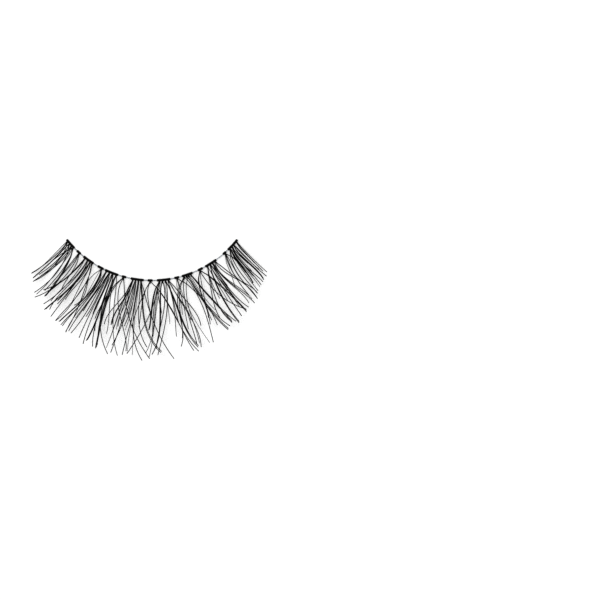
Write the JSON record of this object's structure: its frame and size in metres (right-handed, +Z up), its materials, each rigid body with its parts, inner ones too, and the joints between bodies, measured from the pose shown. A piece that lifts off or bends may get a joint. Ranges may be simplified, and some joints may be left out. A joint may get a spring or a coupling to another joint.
{
  "type": "false eyelash strip",
  "caption": "Curved strip of false eyelashes: black hairs in long and short knotted tufts along a clear bowed band thread, fanned out and curled up.",
  "frame": {"origin": "on the surface the strip lies on, under the centre of its bounding box", "axes": "+X along the band, from the outer corner's end to the inner corner's end; +Y towards the lid, away from the hair tips; +Z up, the way the hairs curl"},
  "size_m": [0.0366, 0.0188, 0.005],
  "materials": {
    "clear_thread": "clear nylon monofilament, smooth",
    "black_hair": "black synthetic hair, satin, with lacquered knots"
  },
  "bodies": {
    "root": {"band_thread": "clear_thread", "long_tuft_1": "black_hair", "long_tuft_2": "black_hair", "long_tuft_3": "black_hair", "long_tuft_4": "black_hair", "long_tuft_5": "black_hair", "long_tuft_6": "black_hair", "long_tuft_7": "black_hair", "long_tuft_8": "black_hair", "short_tuft_1": "black_hair", "short_tuft_2": "black_hair", "short_tuft_3": "black_hair", "short_tuft_4": "black_hair", "short_tuft_5": "black_hair", "short_tuft_6": "black_hair", "short_tuft_7": "black_hair"}
  },
  "joints": []
}
